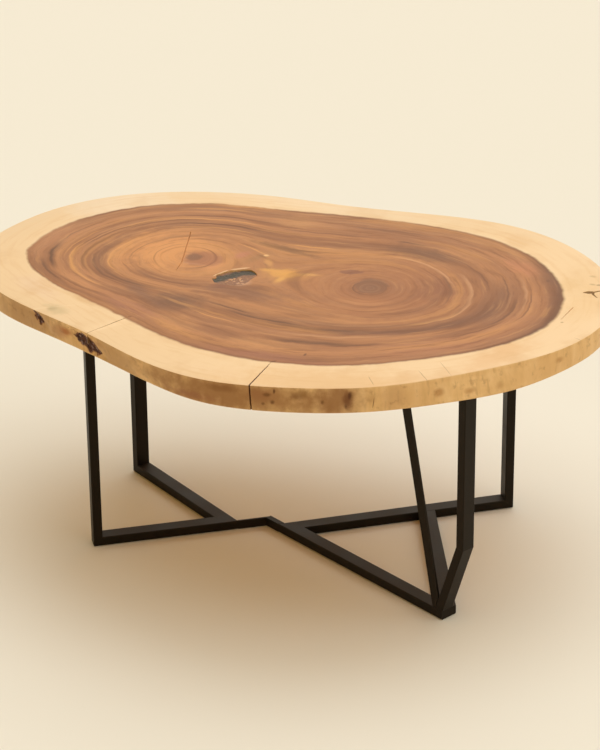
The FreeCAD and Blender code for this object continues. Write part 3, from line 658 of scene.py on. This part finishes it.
def slabWood():
    material, tree, shader, place = newMaterial("slabWood")
    plan = woodPlan
    flat = vectorSums(tree, "MULTIPLY", place, (1, 1, 0))
    slow = wander(tree, flat, 5.0, 2.0)
    quick = wander(tree, flat, 24.0, 3.0)
    plain = useGroup(tree, ringField, {"Vector": flat})["Depth"]
    swing = fade(tree, plain, 1.0, 0.7, 0.008, 0.024)  # the rim itself wavers less than the rings inside
    stir = fade(tree, plain, 1.0, 0.7, 0.012, 0.009)
    drift = scaled(tree, slow, swing)
    ripple = scaled(tree, quick, stir)
    moved = vectorSums(tree, "ADD", vectorSums(tree, "ADD", flat, drift), ripple)
    depth = useGroup(tree, ringField, {"Vector": moved})["Depth"]
    rough = sums(tree, "MULTIPLY", sums(tree, "SUBTRACT", cloud(tree, place, 30.0, 4.0, 0.55), 0.5), 0.9)
    # every painted mark reads this wavering place, which also keeps the shader small: the marks are
    # then worked out one by one, each just before it is laid on
    wavering = vectorSums(tree, "ADD", place, scaled(tree, quick, 0.004))
    level = vectorSums(tree, "MULTIPLY", wavering, (1, 1, 0))
    # streaks that follow the rings: fast across them, slow along them
    lanes = addNode(tree, "CombineXYZ", {
        "X": depth, "Y": sums(tree, "MULTIPLY", axisOf(tree, flat, "X"), plan["laneStretch"]),
        "Z": sums(tree, "MULTIPLY", axisOf(tree, flat, "Y"), plan["laneStretch"])}).outputs[0]
    streaks = {name: cloud(tree, lanes, *grain) for name, grain in plan["streaks"].items()}
    heart = heartColour(tree, flat, level, rough, depth, streaks)
    sap = sapColour(tree, place, level, rough, depth, streaks["narrow"])
    top = mixed(tree, fade(tree, depth, 1.009, 0.991), sap, heart)
    # dark drying checks, and the painted highlight on the hollow's back rim
    top = paintLines(tree, top, level, rimChecksAndHighlights, plan["slitDark"], plan["hollowRimHighlight"])
    side = sideColour(tree, place, wavering, rough)
    normal = axisOf(tree, addNode(tree, "TexCoord").outputs["Normal"], "Z")
    colour = mixed(tree, fade(tree, sums(tree, "ABSOLUTE", normal), 0.45, 0.8), side, top)
    colour = tinted(tree, colour, normal, -0.5, -0.9, 0.35, plan["underPale"])
    flakes = cloud(tree, place, 95.0, 4.0, 0.7)
    bark = ramp(tree, flakes, barkPlan["flakes"])
    pocketed = barkMask(tree, place, wavering)
    colour = tinted(tree, colour, pocketed, 0.0, 0.6, 1.0, barkPlan["stain"])
    colour = mixed(tree, fade(tree, pocketed, 0.35, 0.75), colour, bark)
    gloss = sums(tree, "ADD", fade(tree, streaks["narrow"], 0.3, 0.7, 0.38, 0.5),
                 fade(tree, normal, -0.5, -0.9, 0.0, 0.25))
    feed(tree, shader, Base_Color=colour, Specular_IOR_Level=0.2,
         Roughness=sums(tree, "MAXIMUM", gloss, sums(tree, "MULTIPLY", pocketed, 0.8)))
    pores = sums(tree, "MULTIPLY", cloud(tree, place, 700.0, 2.0), 0.12)
    height = sums(tree, "ADD", pores, sums(tree, "MULTIPLY", flakes, pocketed))
    bumped(tree, shader, height, 0.6, plan["grainHeight"])
    return material


# resin that fills the hollow and the checks: dark at the back of the hollow, brown and crumbly elsewhere
resinPlan = {
    "crescent": [
        ((-0.192, -0.034), (-0.152, 0.02), 0.026, 1.0), ((-0.165, 0.0), (-0.126, 0.056), 0.026, 1.0),
        ((-0.148, 0.046), (-0.084, 0.062), 0.024, 1.0),
    ],
    "grit": [
        (0.3, tone(84, 56, 40)), (0.42, tone(150, 104, 74)), (0.56, tone(150, 104, 74)),
        (0.68, tone(196, 150, 112)),
    ],
    "dark": tone(76, 66, 52),
    "checks": [
        ((0.13, -0.5), (0.06, 0.1), 0, (82, 44, 16), 1.0),
        ((-0.335, -0.37), (0.07, 0.09), 0, (124, 92, 60), 1.0),
    ],
    "checkCore": 0.8,
}


def darkResin():
    material, tree, shader, place = newMaterial("darkResin")
    plan = resinPlan
    grit = cloud(tree, place, 240.0, 4.0, 0.65)
    moved = vectorSums(tree, "ADD", place, scaled(tree, wander(tree, place, 60.0, 3.0), 0.016))
    level = vectorSums(tree, "MULTIPLY", moved, (1, 1, 0))
    colour = ramp(tree, grit, plan["grit"])
    colour = paintLines(tree, colour, level, plan["crescent"], plan["dark"], plan["dark"])
    colour = paintZones(tree, colour, level, 0.0, plan["checks"], plan["checkCore"])
    feed(tree, shader, Base_Color=colour, Specular_IOR_Level=0.25,
         Roughness=fade(tree, grit, 0.3, 0.7, 0.3, 0.65))
    bumped(tree, shader, grit, 0.5, 0.001)
    return material


def barkBrown():
    material, tree, shader, place = newMaterial("barkBrown")
    flakes = cloud(tree, place, 320.0, 4.0, 0.65)
    feed(tree, shader, Base_Color=ramp(tree, flakes, [(0.35, tone(92, 60, 28)), (0.55, tone(142, 102, 50)),
                                                      (0.7, tone(176, 134, 80))]),
         Roughness=fade(tree, flakes, 0.3, 0.7, 0.9, 0.65))
    bumped(tree, shader, flakes, 0.6, 0.001)
    return material


def blackSteel():  # satin powder coat: orange peel, dust and painted light on the upper faces, rubbed corners
    material, tree, shader, place = newMaterial("blackSteel")
    peel = cloud(tree, place, 620.0, 2.0, 0.4)
    patches = cloud(tree, place, 9.0, 2.0, 0.5)
    colour = mixed(tree, fade(tree, patches, 0.35, 0.7), tone(15, 12, 9), tone(21, 16, 12))
    up = axisOf(tree, addNode(tree, "TexCoord").outputs["Normal"], "Z")
    # upward faces made paler: partly dust, partly painted light on the lit tops
    dustAndTopLight = sums(tree, "MULTIPLY", fade(tree, up, 0.6, 0.95), fade(tree, patches, 0.3, 0.75, 0.2, 0.35))
    colour = mixed(tree, dustAndTopLight, colour, tone(78, 64, 50))
    worn = useGroup(tree, edgeWear, {"Vector": place, "Scale": 45.0, "Reach": 0.0015, "Amount": 0.3})["Mask"]
    colour = mixed(tree, worn, colour, tone(110, 98, 84))
    feed(tree, shader, Base_Color=colour, Specular_IOR_Level=0.2, Specular_Tint=(1.0, 0.76, 0.5, 1.0),
         Roughness=sums(tree, "ADD", fade(tree, patches, 0.3, 0.7, 0.42, 0.5),
                        sums(tree, "MULTIPLY", dustAndTopLight, 0.25)))
    bumped(tree, shader, peel, 0.3, 0.0002)
    return material


def brightMetal(name, colour, stain, roughness):  # turned or plated metal with fine scratches
    material, tree, shader, place = newMaterial(name)
    scratches = cloud(tree, vectorSums(tree, "MULTIPLY", place, (1, 1, 6)), 900.0, 3.0, 0.6)
    patches = cloud(tree, place, 220.0, 3.0)
    worn = useGroup(tree, edgeWear, {"Vector": place, "Scale": 300.0, "Reach": 0.0004, "Amount": 0.5})["Mask"]
    shade = tinted(tree, colour, patches, 0.4, 0.72, 0.6, stain)
    shade = mixed(tree, worn, shade, tone(236, 232, 224))
    feed(tree, shader, Base_Color=shade, Metallic=1.0,
         Roughness=fade(tree, scratches, 0.3, 0.7, roughness - 0.08, roughness + 0.1))
    bumped(tree, shader, scratches, 0.2, 0.0002)
    return material


def glidePlastic():
    material, tree, shader, place = newMaterial("glidePlastic")
    scuffs = cloud(tree, vectorSums(tree, "MULTIPLY", place, (1, 4, 1)), 260.0, 4.0, 0.6)
    colour = mixed(tree, fade(tree, scuffs, 0.52, 0.7), tone(28, 28, 29), tone(66, 64, 62))
    feed(tree, shader, Base_Color=colour, Roughness=fade(tree, scuffs, 0.3, 0.7, 0.45, 0.7))
    bumped(tree, shader, scuffs, 0.3, 0.0003)
    return material


finishes = {
    "slab_wood": slabWood(), "black_steel": blackSteel(), "dark_resin": darkResin(), "bark": barkBrown(),
    "insert_brass": brightMetal("insertBrass", tone(214, 172, 92), tone(150, 112, 58), 0.3),
    "zinc_steel": brightMetal("zincSteel", tone(196, 198, 202), tone(150, 152, 158), 0.34),
    "glide_plastic": glidePlastic(),
}
print("materials made")


# CAD nodes keep their shape and take the finish of their slot
cornerPlan = {"width": 0.0014, "segments": 3, "limit_method": "ANGLE", "angle_limit": math.radians(30)}
for part in frame["record"]["subparts"]:
    node = frame["nodes"][part["node"]]
    node.data.materials.clear()
    node.data.materials.append(finishes[part["material_slot"]])
    if part["material_slot"] == "black_steel":  # drawn tube has rounded corners
        soften = node.modifiers.new("corners", "BEVEL")
        for name, value in cornerPlan.items():
            setattr(soften, name, value)


# helpers for the pieces
rayPlan = {
    "merge": 0.00001,  # corners of CAD faces nearer than this are one corner
    "start": 2.0,  # rays come from well outside the slab
    "margin": 0.00005,  # and pass just under its top and just over its underside
    "sameHeight": 0.001,
}


def addPiece(name, shape, slotName, *nodes, smooth=False):
    bmesh.ops.recalc_face_normals(shape, faces=shape.faces)
    for face in shape.faces:
        face.smooth = smooth
    mesh = bpy.data.meshes.new(name)
    shape.to_mesh(mesh)
    shape.free()
    mesh.materials.append(finishes[slotName])
    piece = bpy.data.objects.new(name, mesh)
    bpy.context.scene.collection.objects.link(piece)
    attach(piece, "root")
    if nodes:
        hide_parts(*nodes)
    return piece


def castTarget(*names):  # CAD nodes as one solid to measure against
    shape = bmesh.new()
    for name in names:
        shape.from_mesh(frame["nodes"][name].data)
    bmesh.ops.remove_doubles(shape, verts=shape.verts, dist=rayPlan["merge"])
    tree = BVHTree.FromBMesh(shape)
    shape.free()
    return tree


def partsOf(items, kind):
    return [item for item in items if isinstance(item, kind)]


def sweepDown(shape, edges):  # copies a row of edges, joined to the old row
    swept = bmesh.ops.extrude_edge_only(shape, edges=edges)["geom"]
    return partsOf(swept, bmesh.types.BMVert), partsOf(swept, bmesh.types.BMEdge)


def closeInwards(shape, edges, rings, middle):  # fills an outline with rings that shrink to its middle
    inner = []
    for number in range(rings, 0, -1):
        verts, edges = sweepDown(shape, edges)
        shrink = (number - 0.5) / (number + 0.5)
        bmesh.ops.scale(shape, verts=verts, vec=(shrink, shrink, 1), space=Matrix.Translation(-middle))
        inner += verts
    bmesh.ops.edgeloop_fill(shape, edges=edges)
    return inner


def thicken(shape, verts, move):  # gives a flat sheet a body below it
    faces = list(dict.fromkeys(face for vert in verts for face in vert.link_faces))
    lower = bmesh.ops.extrude_face_region(shape, geom=faces)["geom"]
    for vert in partsOf(lower, bmesh.types.BMVert):
        vert.co += Vector(move)


def twoNoises(place, coarse, fine):
    return noise.noise(place * coarse) + 0.5 * noise.noise(place * fine)


# slab: a ring of points swept down the live edge, then cut for the hollow, the checks and the fork
slabPlan = {
    "steps": 900,
    "innerRings": 2,
    "topRadius": 0.003,
    "topTurns": (90, 68, 45, 22, 0),  # degrees, from the flat top round to the upright edge
    "underRadius": 0.004,
    "underTurns": (0, 30, 60, 90),
    "sideRows": 14,
    "lumps": 0.0035,
    "lumpSize": 0.11,
    "flutes": 0.0012,
    "fluteScale": (60, 60, 12),
    "ease": 6,  # lumps and flutes start within a sixth of the thickness
    "sharpAngle": 40,
}


def pushToEdge(verts, height, target):
    for vert in verts:
        way = wayAt(math.atan2(vert.co.y, vert.co.x))
        probe = min(max(height, underHeight + rayPlan["margin"]), topHeight - rayPlan["margin"])
        hit = target.ray_cast(way * rayPlan["start"] + Vector((0, 0, probe)), -way)[0]
        vert.co = way * math.hypot(hit.x, hit.y) + Vector((0, 0, height))


def slabHeights(plan):
    heights = []
    for turn in plan["topTurns"]:
        heights.append(topHeight - plan["topRadius"] * (1 - math.sin(math.radians(turn))))
    low = underHeight + plan["underRadius"]
    high = heights[-1]
    for row in range(1, plan["sideRows"]):
        heights.append(high + (low - high) * row / plan["sideRows"])
    for turn in plan["underTurns"]:
        heights.append(underHeight + plan["underRadius"] * (1 - math.sin(math.radians(turn))))
    return heights


def pocketDepth(co):  # bark pockets are hollows in the edge, deepest along their middle
    deepest = 0
    for pocket in barkPlan["pockets"]:
        start, run = Vector(pocket["start"]), Vector(pocket["end"]) - Vector(pocket["start"])
        along = min(max((co - start).dot(run) / run.length_squared, 0), 1)
        away = (co - start - run * along).length / (pocket["width"] * barkPlan["hollowed"])
        lens = max(1 - away * away, 0) * (1 - (2 * along - 1) ** 4)
        deepest = max(deepest, pocket["depth"] * lens)
    return deepest


def liveEdge(co, plan):  # how far a point of the edge lies inside the smooth outline
    depth = (co.z - underHeight) / (topHeight - underHeight)
    ease = min(1, plan["ease"] * min(depth, 1 - depth))
    lump = noise.noise(co / plan["lumpSize"]) * 0.5 + 0.5
    flute = noise.noise(co * Vector(plan["fluteScale"])) * 0.5 + 0.5
    return ease * (plan["lumps"] * lump + plan["flutes"] * flute + pocketDepth(co))


def makeSlab(plan):
    target = castTarget("slab_top", "front_check_fill", "left_check_fill")
    shape = bmesh.new()
    ring = bmesh.ops.create_circle(shape, segments=plan["steps"], radius=1)["verts"]
    edges = list(shape.edges)
    topEdges = edges
    heights = slabHeights(plan)
    pushToEdge(ring, heights[0], target)
    for height in heights[1:]:
        verts, edges = sweepDown(shape, edges)
        pushToEdge(verts, height, target)
        for vert in verts:
            outward = Vector((vert.co.x, vert.co.y, 0)).normalized()
            vert.co -= outward * liveEdge(vert.co, plan)
    for rim in (topEdges, edges):
        closeInwards(shape, rim, plan["innerRings"], Vector((0, 0, 0)))
    return addPiece("liveEdgeSlab", shape, "slab_wood", "slab_top", smooth=True)


# bent slits in the slab's top: points of the middle line in metres, and the width at each
forkPlan = {
    "prongs": [
        {"line": [(0.7745, 0.217), (0.763, 0.2135), (0.75, 0.209)], "widths": (0.013, 0.017, 0.004)},
        {"line": [(0.7725, 0.2165), (0.78, 0.223), (0.789, 0.233)], "widths": (0.0104, 0.0062, 0.0044)},
        {"line": [(0.7735, 0.2165), (0.7775, 0.204), (0.7925, 0.189)], "widths": (0.0094, 0.0056, 0.0028)},
    ],
    "depth": 0.007,
    "recess": 0.0009,
}
checkPlan = {
    "frontCheckFiller": {"node": "front_check_fill", "widths": (0.004, 0.0034, 0.003, 0.0028, 0.001),
                         "lean": (0.006, 0.0), "recess": 0.0006},
    "leftCheckFiller": {"node": "left_check_fill", "widths": (0.0016, 0.0017, 0.002, 0.003, 0.0014),
                        "lean": (0.0, 0.0), "recess": 0.0005},
}
hairPlan = {  # open hair cracks: middle line and widths
    "lines": [
        ([(-0.356, 0.253), (-0.34, 0.195), (-0.328, 0.148), (-0.316, 0.105), (-0.304, 0.058),
          (-0.297, -0.002)],
         (0.0014, 0.0036, 0.0022, 0.0034, 0.003, 0.001)),
        ([(0.749, 0.111), (0.744, 0.072), (0.739, 0.031)], (0.0024, 0.0018, 0.0006)),
    ],
    "depth": 0.004,
}
slitPlan = {
    "steps": 48,
    "waver": 0.0008,
    "waverScale": 70,
    "ragged": 0.0004,
    "raggedScale": 500,
    "leastHalf": 0.0002,
    "above": 0.002,  # cutters stand above the top and below the underside
    "overlap": 0.0002,  # fillers reach this far into the walls
    "clear": 0.0004,
    "lumps": 0.0006,
    "lumpScale": 300,
    "mouth": 0.008,
    "shares": (-0.06, 0.3, 0.65),  # points of a check's line, from its mouth towards its tip
    "fillStart": 0.17,
}
hollowPlan = {
    "steps": 160,
    "depth": 0.016,
    "fillShare": 0.9,
    "ragged": 0.0022,
    "raggedScales": (90, 260),
    "rings": 18,
    "backRecess": 0.0032,
    "frontRecess": 0.0006,
    "backWay": (-0.5, 0.85),
    "slope": 0.03,
    "lumps": 0.0016,
    "lumpScales": (110, 320),
}
crumbPlan = {
    "crumbs": [  # place and size of the pale crumbs along the front of the hollow
        (-0.14, -0.006, 0.005), (-0.1345, 0.003, 0.0042), (-0.1225, 0.011, 0.0055),
        (-0.1105, -0.005, 0.0045), (-0.093, -0.031, 0.006), (-0.129, -0.012, 0.0034),
        (-0.118, 0.001, 0.0036), (-0.104, -0.018, 0.0042), (-0.1465, -0.02, 0.0036),
        (-0.1, -0.006, 0.003), (-0.115, -0.02, 0.004), (-0.186, -0.005, 0.006),
    ],
    "stretch": (1.3, 0.8, 0.45, 1),
    "turnEach": 1.3,
    "rough": 0.5,
    "roughScale": 1.4,
    "sunk": 0.002,
    "clear": 0.0003,
}


def lineAt(line, widths, share):  # place, sideways direction and width at a share of a bent line
    points = [Vector((x, y, 0)) for x, y in line]
    step = min(int(share * (len(points) - 1)), len(points) - 2)
    local = share * (len(points) - 1) - step
    place = points[step].lerp(points[step + 1], local)
    before = points[max(step - 1, 0)]
    after = points[min(step + 2, len(points) - 1)]
    along = (points[step + 1] - before).lerp(after - points[step], local).normalized()
    spread = share * (len(widths) - 1)
    left = min(int(spread), len(widths) - 2)
    width = widths[left] + (widths[left + 1] - widths[left]) * (spread - left)
    return place, Vector((-along.y, along.x, 0)), width


def slitShape(shape, line, widths, high, low, extra, lean=(0.0, 0.0)):
    plan = slitPlan
    sheet = bmesh.ops.create_grid(shape, x_segments=plan["steps"], y_segments=1, size=1)["verts"]
    for vert in sheet:
        place, across, width = lineAt(line, widths, vert.co.x * 0.5 + 0.5)
        waver = noise.noise(place * plan["waverScale"]) * plan["waver"]
        ragged = noise.noise(place * plan["raggedScale"] + Vector((0, 0, vert.co.y))) * plan["ragged"]
        vert.co = place + across * (vert.co.y * max(width / 2 + extra + ragged, plan["leastHalf"]) + waver)
        vert.co.z = high
    thicken(shape, sheet, (lean[0], lean[1], low - high))
    return sheet


def checkLine(name):  # from the mouth of a CAD check to its tip, and on past the slab's edge
    mesh = frame["nodes"][name].data
    top = topHeight - rayPlan["sameHeight"]
    points = [vert.co.xy.to_tuple() for vert in mesh.vertices if vert.co.z > top]
    tip = Vector(max(points, key=lambda point: point[1]))
    front = min(y for x, y in points) + slitPlan["mouth"]
    mouth = [Vector(point) for point in points if point[1] < front]
    start = sum(mouth, Vector((0, 0))) / len(mouth)
    return [tuple(start + (tip - start) * share) for share in slitPlan["shares"]] + [tuple(tip)]


def hollowRim(shape, extra, height, filled):  # the hollow's ragged outline, measured on the CAD fill
    plan = hollowPlan
    low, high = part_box("hollow_resin_fill")
    middle = (low + high) / 2
    target = castTarget("hollow_resin_fill")
    probe = Vector((middle.x, middle.y, high.z - rayPlan["sameHeight"]))
    ring = bmesh.ops.create_circle(shape, cap_ends=filled, segments=plan["steps"], radius=1)["verts"]
    for step, vert in enumerate(ring):
        way = wayAt(2 * math.pi * step / plan["steps"])
        hit = target.ray_cast(probe + way, -way)[0]
        vert.co = hit + way * (extra + twoNoises(hit, *plan["raggedScales"]) * plan["ragged"])
        vert.co.z = height
    return ring, middle


def cutSlab(slab):
    shape = bmesh.new()
    above = slitPlan["above"]
    high = topHeight + above
    thicken(shape, hollowRim(shape, 0.0, high, True)[0], (0, 0, -hollowPlan["depth"] - above))
    for plan in checkPlan.values():
        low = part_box(plan["node"])[0].z
        low = low - above if low < underHeight + rayPlan["sameHeight"] else low
        slitShape(shape, checkLine(plan["node"]), plan["widths"], high, low, 0.0, plan["lean"])
    for prong in forkPlan["prongs"]:
        slitShape(shape, prong["line"], prong["widths"], high, topHeight - forkPlan["depth"], 0.0)
    for line, widths in hairPlan["lines"]:
        slitShape(shape, line, widths, high, topHeight - hairPlan["depth"], 0.0)
    bmesh.ops.recalc_face_normals(shape, faces=shape.faces)
    mesh = bpy.data.meshes.new("slabCutter")
    shape.to_mesh(mesh)
    shape.free()
    cutter = bpy.data.objects.new("slabCutter", mesh)
    bpy.context.scene.collection.objects.link(cutter)
    cut = slab.modifiers.new("cuts", "BOOLEAN")
    cut.operation = "DIFFERENCE"
    cut.solver = "EXACT"
    cut.use_self = True
    cut.object = cutter
    drawn = slab.evaluated_get(bpy.context.evaluated_depsgraph_get())
    finished = bpy.data.meshes.new_from_object(drawn)
    slab.modifiers.clear()
    slab.data = finished
    slab.data.set_sharp_from_angle(angle=math.radians(slabPlan["sharpAngle"]))
    bpy.data.objects.remove(cutter)


def roughTop(verts, height):  # small lumps on a filler's top
    for vert in verts:
        vert.co.z = height - abs(noise.noise(vert.co * slitPlan["lumpScale"])) * slitPlan["lumps"]


def makeCheckFillers():
    for name, plan in checkPlan.items():
        shape = bmesh.new()
        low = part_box(plan["node"])[0].z + slitPlan["clear"]
        high = topHeight - plan["recess"]
        line = checkLine(plan["node"])
        # the filler starts just inside the slab's edge
        line[0] = tuple(Vector(line[0]).lerp(Vector(line[1]), slitPlan["fillStart"] + plan["recess"]))
        roughTop(slitShape(shape, line, plan["widths"], high, low, slitPlan["overlap"], plan["lean"]), high)
        addPiece(name, shape, "dark_resin", plan["node"])


def makeForkBark():
    shape = bmesh.new()
    low, high = topHeight - forkPlan["depth"], topHeight - forkPlan["recess"]
    for prong in forkPlan["prongs"]:
        roughTop(slitShape(shape, prong["line"], prong["widths"], high, low, slitPlan["overlap"]), high)
    addPiece("forkBark", shape, "bark", "fork_bark_inclusion")


def makeHollowResin(plan):
    shape = bmesh.new()
    ring, middle = hollowRim(shape, slitPlan["overlap"], topHeight, False)
    outline = list(shape.edges)
    right, ahead = plan["backWay"]
    for vert in list(ring) + closeInwards(shape, outline, plan["rings"], middle):
        # deep and smooth at the back, level and crumbly towards the front
        back = (vert.co.y - middle.y) * ahead + (vert.co.x - middle.x) * right
        share = min(max(back / plan["slope"] * 0.5 + 0.5, 0), 1)
        recess = plan["frontRecess"] + (plan["backRecess"] - plan["frontRecess"]) * share
        vert.co.z = topHeight - recess - abs(twoNoises(vert.co, *plan["lumpScales"])) * plan["lumps"]
    verts, edges = sweepDown(shape, outline)
    for vert in verts:
        vert.co.z = topHeight - plan["depth"] * plan["fillShare"]
    bmesh.ops.edgeloop_fill(shape, edges=edges)
    addPiece("hollowResin", shape, "dark_resin", "hollow_resin_fill", smooth=True)


def makeCrumbs(plan):  # flakes of pale wood caught in the resin
    shape = bmesh.new()
    for number, (x, y, size) in enumerate(plan["crumbs"]):
        ball = bmesh.ops.create_icosphere(shape, subdivisions=3, radius=size)["verts"]
        turned = Matrix.Rotation(number * plan["turnEach"], 4, "Z") @ Matrix.Diagonal(plan["stretch"])
        for vert in ball:
            offset = Vector((number * 3.1, 0, 0))  # so that no two crumbs are alike
            rough = 1 + plan["rough"] * noise.noise(vert.co / size * plan["roughScale"] + offset)
            vert.co = turned @ (vert.co * rough) + Vector((x, y, topHeight - plan["sunk"]))
            vert.co.z = min(vert.co.z, topHeight - plan["clear"])
    addPiece("hollowCrumbs", shape, "slab_wood")


# weld beads round the head of each leg and of the strut, under its plate
weldPlan = {
    "nodes": ["left_front_leg", "left_back_leg", "right_back_leg", "right_bent_leg_upper", "right_strut"],
    "radius": 0.0024,
    "pitch": 0.0027,
    "uneven": 0.25,
    "unevenScale": 300,
    "sunk": 0.5,
    "head": 0.0005,
}


def makeWelds(plan):
    shape = bmesh.new()
    for name in plan["nodes"]:
        verts = frame["nodes"][name].data.vertices
        top = max(vert.co.z for vert in verts)
        rim = [vert.co.xy.copy() for vert in verts if vert.co.z > top - plan["head"]]
        corners = [rim[index] for index in geometry.convex_hull_2d(rim)]
        for first, second in zip(corners, corners[1:] + corners[:1]):
            count = max(int((second - first).length / plan["pitch"]), 1)
            for step in range(count):
                place = first.lerp(second, step / count).to_3d()
                size = plan["radius"] * (1 + plan["uneven"] * noise.noise(place * plan["unevenScale"]))
                bead = bmesh.ops.create_icosphere(shape, subdivisions=2, radius=size)["verts"]
                place.z = top - size * plan["sunk"]
                bmesh.ops.translate(shape, verts=bead, vec=place)
    addPiece("weldBeads", shape, "black_steel", smooth=True)


slab = makeSlab(slabPlan)
cutSlab(slab)
print("slab made and cut")
makeCheckFillers()
makeForkBark()
makeHollowResin(hollowPlan)
makeCrumbs(crumbPlan)
print("fillers made")
makeWelds(weldPlan)
print("welds made")
